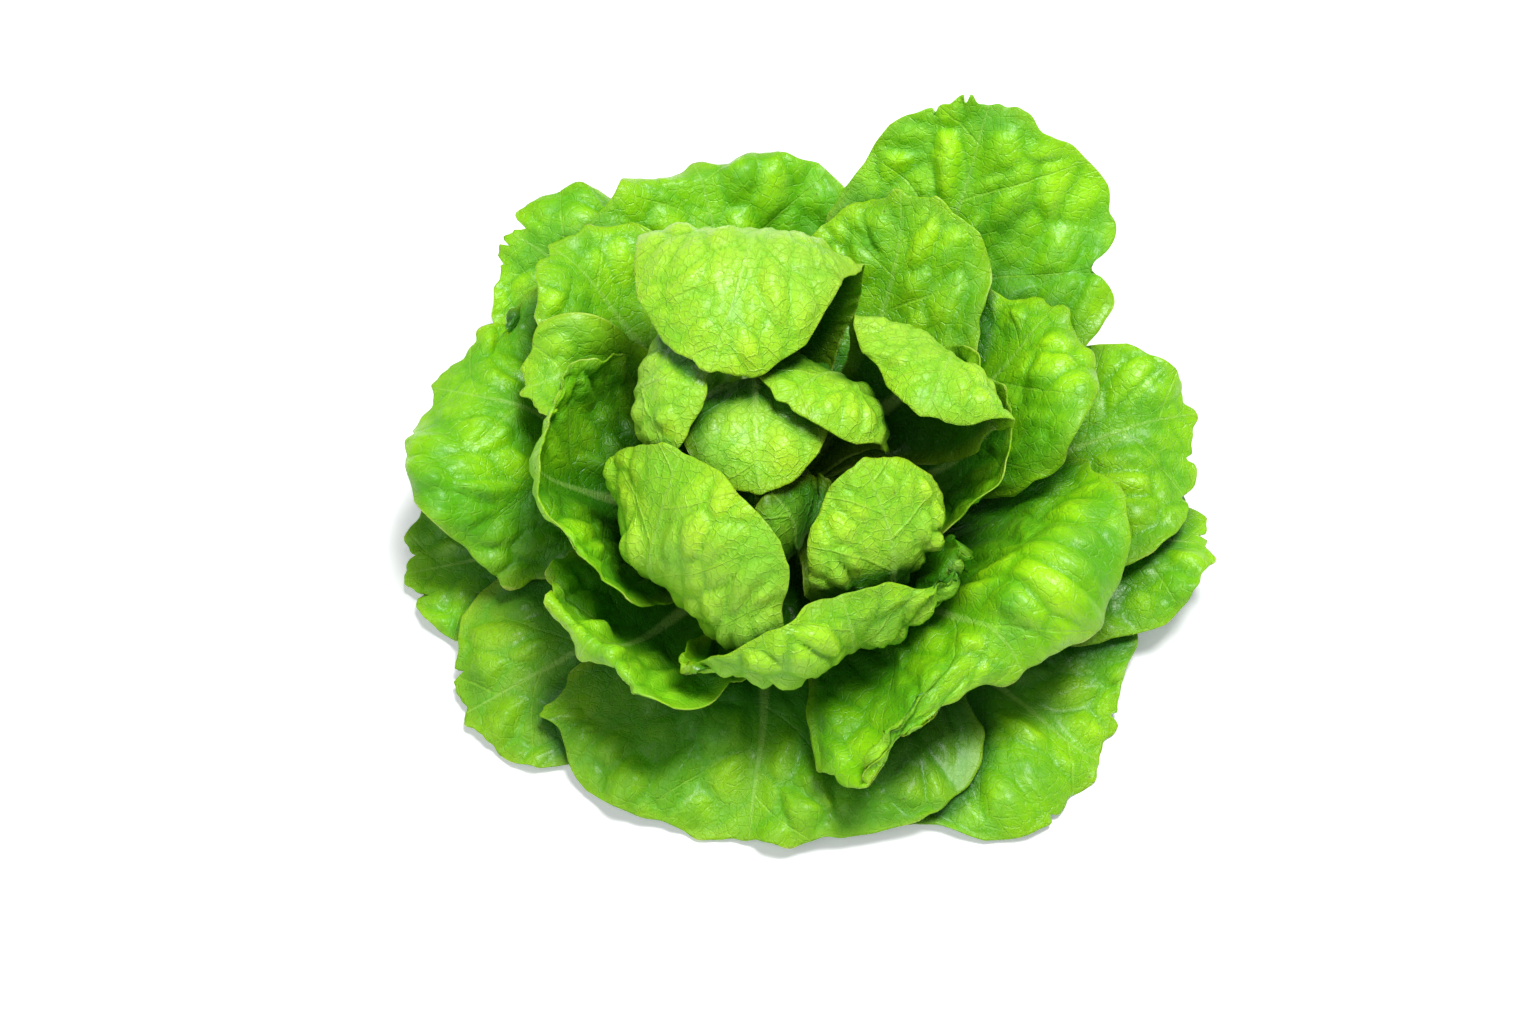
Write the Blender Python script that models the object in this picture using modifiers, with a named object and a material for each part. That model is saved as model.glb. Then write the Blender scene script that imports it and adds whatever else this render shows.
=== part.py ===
"""A butterhead lettuce with its leaves opened out, cut at the stem and set down on the cut.

Every leaf is a solid of its own, and so is the stem that they grow round. The origin is the centre of the
stem's cut face, +Z is up and -Y is the front. Sizes are in millimetres until the meshes are made.
"""

import math
from collections import namedtuple

import bpy
import numpy as np
from mathutils.bvhtree import BVHTree

MM = 0.001

# The stem: a short stump, widest at the cut.
STEM_RADIUS = 15.0
STEM_HEIGHT = 46.0
STEM_PROFILE = ((1.0, 0.0), (1.0, 0.24), (0.86, 0.45), (0.66, 0.68), (0.42, 0.88), (0.16, 1.0))
STEM_SIDES = 24

# How leaves are attached: the outermost lowest, the innermost near the stem's top.
LOWEST_ROOT = 5.0
HIGHEST_ROOT = 40.0
ROOT_CLEARANCE = 0.5

# A leaf's blade.
BLADE_THICKNESS = 0.9
ROOT_THICKNESS = 2.0
ROOT_TAPER = 0.35
NECK_HALF = 8.0
TOP_PULL = 0.13
OUTLINE = (
    (0.0, 0.0), (0.15, 0.16), (0.3, 0.5), (0.45, 0.84), (0.6, 1.0), (0.8, 0.94), (0.9, 0.85), (1.0, 0.71),
)
CURL_START = 0.5
CURL_ALONG = 0.4
ROLL_ALONG = 0.5
ARC_STEPS = 24

# Waves: ruffles fan out along the margin from a point on the rib, and swells cross the whole blade.
WAVE_ORIGIN = 0.2
RUFFLES = (5.0, 9.0)
RUFFLE_HEIGHT = 0.8
SWELL_ACROSS = 2.6
SWELL_ALONG = 4.2
SWELL_HEIGHT = 0.6

# Settling: leaves rest on each other with this much between their middle surfaces.
LEAF_GAP = 2.4
TABLE_GAP = 0.8
SETTLE_ROUNDS = 60
SETTLE_DEPTH = 11.0
FACING = 0.74
PUSH_SHARE = 0.35
PUSH_SPREAD = 0.3
BEND_SPREAD = 0.2

ROWS = 12
COLUMNS = 11

# The leaves, innermost first. Angles are in degrees, and a pair gives the leaf's right and left side.
# heading: the way it grows, counter-clockwise from +X. rib: its points after the root, each as the reach
# from the stem's axis along the heading, the height, and the sway to the left. half: half the blade's
# width. cup: how far the blade turns up from rib to margin, at the root, the middle and the top. curl: the
# margin's own turn besides. roll: the blade's tilt about its rib. wave: how high the ruffles stand.
Leaf = namedtuple("Leaf", "name heading rib half cup curl roll wave")

LEAVES = (
    Leaf("core_left_leaf", 200, ((18, 46, 14), (24, 60, 24), (22, 72, 26), (17, 77, 26)),
         (20, 20), (50, 55, 45), (0, 0), 0, 1.0),
    Leaf("core_right_leaf", -35, ((18, 46, -16), (26, 60, -26), (20, 73, -26), (11, 78, -25)),
         (22, 24), (50, 55, 45), (0, 0), 0, 1.0),
    Leaf("heart_middle_leaf", 95, ((18, 50, 2), (20, 70, 6), (8, 86, 9), (-14, 89, 11), (-31, 79, 11)),
         (27, 27), (45, 36, 20), (0, 0), 0, 1.5),
    Leaf("heart_upper_leaf", 50, ((22, 46, -2), (28, 68, -3), (18, 86, -3), (-5, 94, -2)),
         (34, 38), (45, 40, 28), (0, 0), 0, 1.5),
    Leaf("heart_left_leaf", 168, ((31, 44, 0), (46, 64, 1), (49, 83, 3), (40, 96, 6), (22, 99, 9)),
         (30, 42), (50, 44, 26), (0, 0), 16, 1.5),
    Leaf("heart_right_leaf", -52, ((34, 34, -4), (59, 47, -5), (63, 64, -3), (51, 81, 1), (32, 90, 5)),
         (32, 31), (50, 50, 38), (0, 0), 0, 1.5),
    Leaf("heart_front_leaf", -130, ((32, 30, 2), (60, 42, 4), (67, 60, 0), (56, 82, -6), (37, 95, -11)),
         (48, 60), (45, 46, 34), (0, 0), -18, 1.5),
    Leaf("collar_leaf", 55, ((32, 38, -10), (48, 62, -24), (48, 86, -34), (34, 97, -39), (16, 92, -42)),
         (40, 36), (45, 40, 28), (0, 0), 0, 2.5),
    Leaf("hood_leaf", 80, ((28, 36, 2), (54, 62, 8), (63, 90, 14), (49, 109, 18), (16, 106, 21), (-3, 93, 24)),
         (35, 43), (45, 38, 22), (0, 0), 0, 2.0),
    Leaf("cup_right_leaf", 4, ((34, 28, 0), (54, 42, 0), (66, 60, 0), (71, 76, 0)),
         (36, 40), (50, 45, 35), (0, 0), 0, 2.5),
    Leaf("cup_left_leaf", 182, ((38, 24, 0), (64, 42, 6), (77, 62, 10), (80, 72, 11), (76, 79, 11)),
         (50, 52), (50, 50, 45), (0, 0), 0, 3.0),
    Leaf("cup_front_leaf", -72, ((36, 22, 0), (63, 33, 0), (77, 48, 0), (73, 64, 0), (60, 72, 0)),
         (60, 66), (50, 54, 50), (0, 0), 8, 2.5),
    Leaf("tip_left_leaf", 160, ((38, 24, -4), (64, 46, -4), (78, 64, 0), (92, 62, 10)),
         (23, 24), (40, 25, 15), (0, 0), 0, 2.0),
    Leaf("back_right_inner_leaf", 66, ((30, 26, -4), (62, 44, -6), (86, 60, -4), (104, 72, 2)),
         (38, 36), (40, 25, 10), (0, 0), 0, 5.0),
    Leaf("back_left_inner_leaf", 132, ((41, 22, 0), (75, 44, 2), (98, 62, 5), (112, 64, 8)),
         (32, 34), (40, 25, 10), (0, 0), 0, 4.5),
    Leaf("front_left_cup_leaf", -133, ((44, 18, 2), (74, 30, 3), (88, 46, 4), (94, 53, 2), (97, 47, 2)),
         (40, 40), (40, 25, 10), (0, 0), 0, 3.0),
    Leaf("right_upper_leaf", 25, ((50, 28, 0), (72, 52, 0), (92, 68, 4), (107, 68, 8)),
         (46, 34), (30, -16, -26), (0, 0), 0, 5.0),
    Leaf("right_lower_leaf", -46, ((48, 23, 0), (75, 41, 2), (92, 53, 3), (103, 49, 3), (110, 41, 2)),
         (70, 76), (30, -8, -14), (0, 0), 12, 3.5),
    Leaf("left_leaf", 164, ((38, 18, -2), (78, 34, -2), (110, 48, 2), (127, 42, 0)),
         (50, 60), (30, 5, -10), (0, 0), -8, 7.5),
    Leaf("back_right_leaf", 56, ((43, 18, 0), (84, 40, 0), (118, 65, 4), (143, 88, 10)),
         (62, 42), (30, 14, 8), (0, 0), 12, 4.5),
    Leaf("right_leaf", 12, ((52, 16, -4), (96, 27, -4), (126, 36, -2), (147, 34, 0)),
         (48, 38), (30, 8, -5), (0, 0), 8, 5.0),
    Leaf("back_leaf", 103, ((46, 14, 2), (85, 30, 2), (108, 48, 2), (118, 54, 3), (126, 49, 4)),
         (56, 60), (30, 15, 5), (0, 0), 0, 4.5),
    Leaf("back_left_leaf", 136, ((50, 14, -4), (95, 29, -6), (124, 42, -5), (140, 43, -2)),
         (42, 34), (30, 8, 0), (0, 0), 0, 5.0),
    Leaf("front_leaf", -96, ((52, 12, -1), (85, 13, 1), (105, 9, 0), (121, 3.5, 0)),
         (75, 75), (15, -5, -4), (0, 0), 0, 2.0),
    Leaf("right_low_leaf", -8, ((61, 12, 2), (103, 17, 4), (130, 18, 6), (147, 15, 8)),
         (42, 48), (20, 2, -6), (0, 0), 8, 5.0),
    Leaf("front_left_leaf", 217, ((40, 10, 1), (82, 12, 0), (112, 8, -4), (131, 4, -8)),
         (42, 38), (15, -2, -4), (0, 0), 0, 2.0),
    Leaf("front_right_leaf", -38, ((60, 9, -4), (104, 10, -5), (128, 7, -6), (140, 3.5, -4)),
         (62, 54), (15, 0, -4), (0, 0), 0, 2.0),
    Leaf("left_low_leaf", 188, ((36, 8, 0), (78, 12, 0), (114, 11, 0), (134, 7, 0)),
         (40, 38), (15, -2, -5), (0, 0), 0, 2.0),
)


def spline(knots, values, x):
    """A smooth curve through values at knots, read at x."""
    knots, values = np.asarray(knots, float), np.asarray(values, float)
    slopes = np.gradient(values, knots, axis=0)
    i = np.clip(np.searchsorted(knots, x, side="right") - 1, 0, len(knots) - 2)
    width = knots[i + 1] - knots[i]
    u = (x - knots[i]) / width
    if values.ndim > 1:
        u, width = u[..., None], width[..., None]
    start, end = values[i], values[i + 1]
    bend_in, bend_out = slopes[i] * width, slopes[i + 1] * width
    u2, u3 = u * u, u * u * u
    leaving = (2 * u3 - 3 * u2 + 1) * start + (u3 - 2 * u2 + u) * bend_in
    arriving = (3 * u2 - 2 * u3) * end + (u3 - u2) * bend_out
    return leaving + arriving


def ease(x):
    """0 below 0, 1 above 1, and smooth between."""
    x = np.clip(x, 0, 1)
    return x * x * (3 - 2 * x)


def stem_radius(height):
    """The stem's radius at a height."""
    share = [z for _, z in STEM_PROFILE]
    return STEM_RADIUS * np.interp(height / STEM_HEIGHT, share, [r for r, _ in STEM_PROFILE])


def root_height(order):
    """Where leaf number order, counted from the innermost, grows from the stem."""
    return HIGHEST_ROOT + (LOWEST_ROOT - HIGHEST_ROOT) * order / (len(LEAVES) - 1)


def rib_line(leaf, order, share):
    """The rib at shares of its length: points, the ways across the blade and out of its face, its length."""
    heading = math.radians(leaf.heading)
    out = np.array((math.cos(heading), math.sin(heading), 0))
    side = np.array((-math.sin(heading), math.cos(heading), 0))
    up = np.array((0, 0, 1.0))
    height = root_height(order)
    root = stem_radius(height) + ROOT_CLEARANCE + ROOT_THICKNESS / 2
    marks = np.array(((root, height, 0),) + leaf.rib, float)
    marks = marks[:, :1] * out + marks[:, 1:2] * up + marks[:, 2:3] * side
    lengths = np.concatenate(([0], np.cumsum(np.linalg.norm(np.diff(marks, axis=0), axis=1))))
    knots = lengths / lengths[-1]
    step = 1e-3
    here = spline(knots, marks, np.clip(share, 0, 1))
    ahead = spline(knots, marks, np.clip(share + step, 0, 1))
    behind = spline(knots, marks, np.clip(share - step, 0, 1))
    along = ahead - behind
    along /= np.linalg.norm(along, axis=-1, keepdims=True)
    across = side - along * (along @ side)[..., None]
    across /= np.linalg.norm(across, axis=-1, keepdims=True)
    face = np.cross(along, across)
    tilt = np.radians(leaf.roll) * ease(share / ROLL_ALONG)[..., None]
    return (
        here,
        across * np.cos(tilt) + face * np.sin(tilt),
        face * np.cos(tilt) - across * np.sin(tilt),
        lengths[-1],
    )


def cross_section(leaf, share, q, half):
    """Where the blade's cross-section passes q half-widths from the rib: across, above it, and its slope."""
    cup = np.radians(spline((0, 0.5, 1), leaf.cup, share))
    curl = np.radians(np.where(q < 0, leaf.curl[0], leaf.curl[1])) * ease(share / CURL_ALONG)

    def turn(at):
        return cup * at + curl * ease((at - CURL_START) / (1 - CURL_START))

    marks = [np.abs(q) * (k + 0.5) / ARC_STEPS for k in range(ARC_STEPS)]
    across = q * half * sum(np.cos(turn(at)) for at in marks) / ARC_STEPS
    above = np.abs(q) * half * sum(np.sin(turn(at)) for at in marks) / ARC_STEPS
    return across, above, turn(np.abs(q)) * np.sign(q)


def blade(leaf, order, t, s, draws):
    """The leaf's middle surface. t runs from root, 0, to top, 1, and s from right margin, -1, to left, 1."""
    share = t - TOP_PULL * t * t * s * s
    here, sideways, face, length = rib_line(leaf, order, share)
    half = np.where(s < 0, leaf.half[0], leaf.half[1])
    neck = NECK_HALF / half
    q = s * (neck + (1 - neck) * spline([k for k, _ in OUTLINE], [w for _, w in OUTLINE], t))
    across, above, slope = cross_section(leaf, share, q, half)
    normal = face * np.cos(slope)[..., None] - sideways * np.sin(slope)[..., None]
    around = np.arctan2(q * half, (share - WAVE_ORIGIN) * length)
    margin = np.clip((np.abs(s) ** 6 + t**6) ** (1 / 6), 0, 1) ** 2 * ease(t / 0.45)
    ruffle = np.sin(RUFFLES[0] * around + draws[0]) + 0.5 * np.sin(RUFFLES[1] * around + draws[1])
    swell = np.sin(SWELL_ACROSS * q + draws[2]) * np.sin(SWELL_ALONG * share + draws[3]) * ease(t / 0.4)
    lift = leaf.wave * (RUFFLE_HEIGHT * margin * ruffle + SWELL_HEIGHT * swell)
    return here + sideways * across[..., None] + face * above[..., None] + normal * lift[..., None]


def leaf_grid(leaf, order):
    """The leaf's middle surface as rows of points, from the root up."""
    draws = np.random.default_rng(order + 11).uniform(0, 2 * math.pi, 4)
    t, s = np.meshgrid(np.linspace(0, 1, ROWS), np.linspace(-1, 1, COLUMNS), indexing="ij")
    return blade(leaf, order, t, s, draws)


def grid_triangles(rows, columns):
    """Triangles of a grid of points, facing the leaf's inner side."""
    corner = (np.arange(rows - 1)[:, None] * columns + np.arange(columns - 1)).ravel()
    return np.concatenate(
        (
            np.stack((corner, corner + columns, corner + columns + 1), axis=1),
            np.stack((corner, corner + columns + 1, corner + 1), axis=1),
        )
    )


def blur(grid):
    """Each point's mean with its neighbours in the grid, itself counted twice each way."""
    for axis in (0, 1):
        ahead = np.concatenate((grid.take(range(1, grid.shape[axis]), axis), grid.take([-1], axis)), axis)
        behind = np.concatenate((grid.take([0], axis), grid.take(range(grid.shape[axis] - 1), axis)), axis)
        grid = (ahead + 2 * grid + behind) / 4
    return grid


def grid_normals(grid):
    """Unit normals of a grid of points, towards the leaf's inner side."""
    along = np.gradient(grid, axis=0)
    across = np.gradient(grid, axis=1)
    normal = np.cross(along, across)
    return normal / np.linalg.norm(normal, axis=-1, keepdims=True)


def box_of(grid):
    """The lowest and highest corner of a grid of points."""
    points = grid.reshape(-1, 3)
    return points.min(axis=0), points.max(axis=0)


def push_clear(mine, my_normals, other_tree, other_box, is_outer):
    """How far each point of one leaf has to move to lie on its own side of another leaf."""
    push = np.zeros_like(mine)
    low, high = other_box
    close = np.all((mine > low - SETTLE_DEPTH) & (mine < high + SETTLE_DEPTH), axis=-1)
    wanted = 1 if is_outer else -1
    for i in zip(*np.nonzero(close)):
        found, face_normal, _, distance = other_tree.find_nearest(mine[i], SETTLE_DEPTH)
        if found is None or distance == 0:
            continue
        away = mine[i] - np.array(found)
        outward = -np.array(face_normal)
        height = away @ outward
        nested = outward @ my_normals[i] < 0
        over_the_blade = abs(height) > FACING * distance
        if nested and over_the_blade:
            push[i] = outward * wanted * max(0, LEAF_GAP - wanted * height)
        elif distance < LEAF_GAP:
            push[i] = away / distance * (LEAF_GAP - distance)
    return push


def largest_push(j, grids, normals, trees, boxes):
    """The largest push on each point of leaf j from any other leaf near it."""
    total = np.zeros_like(grids[j])
    for i in range(len(grids)):
        beyond = np.any(boxes[i][0] > boxes[j][1] + SETTLE_DEPTH)
        before = np.any(boxes[i][1] < boxes[j][0] - SETTLE_DEPTH)
        if i == j or beyond or before:
            continue
        push = push_clear(grids[j], normals[j], trees[i], boxes[i], j > i)
        larger = np.linalg.norm(push, axis=-1) > np.linalg.norm(total, axis=-1)
        total[larger] = push[larger]
    return total


def settle(drawn):
    """Bends the leaves apart until each lies clear of its neighbours, the stem and the table."""
    triangles = grid_triangles(ROWS, COLUMNS).tolist()
    grids = drawn
    for _ in range(SETTLE_ROUNDS):
        normals = [grid_normals(grid) for grid in grids]
        trees = [BVHTree.FromPolygons(grid.reshape(-1, 3).tolist(), triangles) for grid in grids]
        boxes = [box_of(grid) for grid in grids]
        moved = []
        for j, grid in enumerate(grids):
            push = largest_push(j, grids, normals, trees, boxes)
            bend = grid + PUSH_SHARE * push + PUSH_SPREAD * blur(push) - drawn[j]
            new = drawn[j] + (1 - BEND_SPREAD) * bend + BEND_SPREAD * blur(bend)
            from_axis = np.linalg.norm(new[..., :2], axis=-1)
            least = stem_radius(new[..., 2]) + ROOT_CLEARANCE + ROOT_THICKNESS / 2
            new[..., :2] *= np.maximum(1, least / from_axis)[..., None]
            new[..., 2] = np.maximum(new[..., 2], TABLE_GAP + BLADE_THICKNESS / 2)
            moved.append(new)
        grids = moved
    return grids


def leaf_colour(order):
    """Pale yellow-green at the heart, to a deeper green outside."""
    share = order / (len(LEAVES) - 1)
    return (0.42 - 0.26 * share, 0.72 - 0.24 * share, 0.08 - 0.03 * share, 1.0)


def leaf_material(name, colour, roughness):
    """A plain, slightly glossy surface."""
    material = bpy.data.materials.new(name)
    material.use_nodes = True
    shader = material.node_tree.nodes["Principled BSDF"]
    shader.inputs["Base Color"].default_value = colour
    shader.inputs["Roughness"].default_value = roughness
    shader.inputs["Metallic"].default_value = 0.0
    return material


def make_leaf(leaf, order, grid, collection):
    """A leaf's solid: its sheet of triangles with a thickness, which grows towards the root."""
    mesh = bpy.data.meshes.new(leaf.name)
    mesh.from_pydata((grid.reshape(-1, 3) * MM).tolist(), [], grid_triangles(ROWS, COLUMNS).tolist())
    made = bpy.data.objects.new(leaf.name, mesh)
    collection.objects.link(made)
    thick = made.vertex_groups.new(name="thick")
    t = np.repeat(np.linspace(0, 1, ROWS), COLUMNS)
    for index, weight in enumerate(1 - ease(t / ROOT_TAPER)):
        thick.add([index], float(weight), "REPLACE")
    solidify = made.modifiers.new("Thickness", "SOLIDIFY")
    solidify.thickness = ROOT_THICKNESS * MM
    solidify.offset = 0
    solidify.vertex_group = thick.name
    solidify.thickness_vertex_group = BLADE_THICKNESS / ROOT_THICKNESS
    mesh.materials.append(leaf_material(leaf.name, leaf_colour(order), 0.4))
    mesh.shade_smooth()
    return made


def make_stem(collection):
    """The stump: a turned profile with a flat cut face to stand on."""
    mesh = bpy.data.meshes.new("stem")
    profile = ((0, 1), *reversed(STEM_PROFILE), (0, 0))
    points = [(STEM_RADIUS * MM * r, 0, STEM_HEIGHT * MM * z) for r, z in profile]
    mesh.from_pydata(points, [(i, i + 1) for i in range(len(points) - 1)], [])
    stem = bpy.data.objects.new("stem", mesh)
    collection.objects.link(stem)
    turn = stem.modifiers.new("Turned", "SCREW")
    turn.steps = turn.render_steps = STEM_SIDES
    turn.use_merge_vertices = True
    turn.merge_threshold = 0.0001
    mesh.materials.append(leaf_material("stem", (0.62, 0.66, 0.40, 1.0), 0.5))
    return stem


def main():
    for old in list(bpy.data.objects):
        bpy.data.objects.remove(old)
    collection = bpy.data.collections.new("butterhead_lettuce")
    bpy.context.scene.collection.children.link(collection)
    make_stem(collection)
    grids = settle([leaf_grid(leaf, order) for order, leaf in enumerate(LEAVES)])
    for order, (leaf, grid) in enumerate(zip(LEAVES, grids)):
        make_leaf(leaf, order, grid, collection)


if __name__ == "__main__":
    main()
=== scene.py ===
"""The look of an opened butterhead lettuce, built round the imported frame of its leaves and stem.

Each leaf of the frame is replaced by a fine one on the same middle surface, with its midrib, side veins,
blisters, ruffled and torn margin. The leaf shapes are in millimetres, as in the frame's own source, until
the meshes are made.
"""

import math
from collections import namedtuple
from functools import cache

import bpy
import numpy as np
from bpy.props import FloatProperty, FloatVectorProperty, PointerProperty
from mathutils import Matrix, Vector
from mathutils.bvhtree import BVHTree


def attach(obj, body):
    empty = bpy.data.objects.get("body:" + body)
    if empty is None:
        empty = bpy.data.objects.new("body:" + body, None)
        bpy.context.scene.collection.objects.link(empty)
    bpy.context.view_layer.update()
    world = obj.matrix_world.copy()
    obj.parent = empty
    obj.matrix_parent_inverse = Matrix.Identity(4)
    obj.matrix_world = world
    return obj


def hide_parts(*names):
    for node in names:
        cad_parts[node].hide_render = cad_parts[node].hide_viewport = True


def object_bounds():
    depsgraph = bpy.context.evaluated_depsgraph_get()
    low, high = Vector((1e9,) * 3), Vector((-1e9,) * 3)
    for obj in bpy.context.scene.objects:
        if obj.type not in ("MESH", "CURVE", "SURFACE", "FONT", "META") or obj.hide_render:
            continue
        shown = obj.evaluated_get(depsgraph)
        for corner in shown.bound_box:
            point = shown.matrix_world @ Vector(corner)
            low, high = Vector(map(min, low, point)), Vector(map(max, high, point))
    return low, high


bl_info = {
    "name": "Butterhead lettuce",
    "version": (1, 0, 0),
    "blender": (4, 5, 0),
    "location": "3D View > Sidebar > Lettuce",
    "description": "Blistered lettuce leaves, stem and studio round a packed frame",
    "category": "Object",
}

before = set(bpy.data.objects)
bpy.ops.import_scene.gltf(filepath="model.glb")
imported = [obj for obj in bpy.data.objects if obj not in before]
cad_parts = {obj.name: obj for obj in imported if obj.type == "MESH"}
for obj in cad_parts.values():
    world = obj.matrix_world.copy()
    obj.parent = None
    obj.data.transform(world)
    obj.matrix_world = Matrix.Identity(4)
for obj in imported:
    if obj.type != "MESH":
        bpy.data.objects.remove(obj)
CAD_BOX = [list(corner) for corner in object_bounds()]

MM = 0.001

# The stem: a short stump, widest at the cut.
STEM_RADIUS = 15.0
STEM_HEIGHT = 46.0
STEM_PROFILE = ((1.0, 0.0), (1.0, 0.24), (0.86, 0.45), (0.66, 0.68), (0.42, 0.88), (0.16, 1.0))

# How leaves are attached: the outermost lowest, the innermost near the stem's top.
LOWEST_ROOT = 5.0
HIGHEST_ROOT = 40.0
ROOT_CLEARANCE = 0.5

# A leaf's blade.
BLADE_THICKNESS = 0.9
ROOT_THICKNESS = 2.0
ROOT_TAPER = 0.35
NECK_HALF = 8.0
TOP_PULL = 0.13
OUTLINE = (
    (0.0, 0.0), (0.15, 0.16), (0.3, 0.5), (0.45, 0.84), (0.6, 1.0), (0.8, 0.94), (0.9, 0.85), (1.0, 0.71),
)
ROLL_ALONG = 0.5
ARC_STEPS = 24

# Waves: ruffles fan out along the margin from a point on the rib, and swells cross the whole blade.
# Each starts at its share of the rib, and the power gives the margin its squarish corners.
WAVE_ORIGIN = 0.2
RUFFLES = (5.0, 9.0)
FINER_RUFFLE = 0.5
RUFFLE_HEIGHT = 0.8
RUFFLE_START = 0.45
MARGIN_POWER = 6
SWELL_ACROSS = 2.6
SWELL_ALONG = 4.2
SWELL_HEIGHT = 0.6
SWELL_START = 0.4

# Settling: leaves rest on each other with this much between their middle surfaces.
LEAF_GAP = 2.4
TABLE_GAP = 0.8
SETTLE_ROUNDS = 60
SETTLE_DEPTH = 11.0
FACING = 0.74
PUSH_SHARE = 0.35
PUSH_SPREAD = 0.3
BEND_SPREAD = 0.2
ROWS = 12
COLUMNS = 11

# The leaves, innermost first. Angles are in degrees, and a pair gives the leaf's right and left side.
# heading: the way it grows, counter-clockwise from +X. rib: its points after the root, each as the reach
# from the stem's axis along the heading, the height, and the sway to the left. half: half the blade's
# width. cup: how far the blade turns up from rib to margin, at the root, the middle and the top. roll: the
# blade's tilt about its rib. wave: how high the ruffles stand.
Leaf = namedtuple("Leaf", "name heading rib half cup roll wave")

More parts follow.
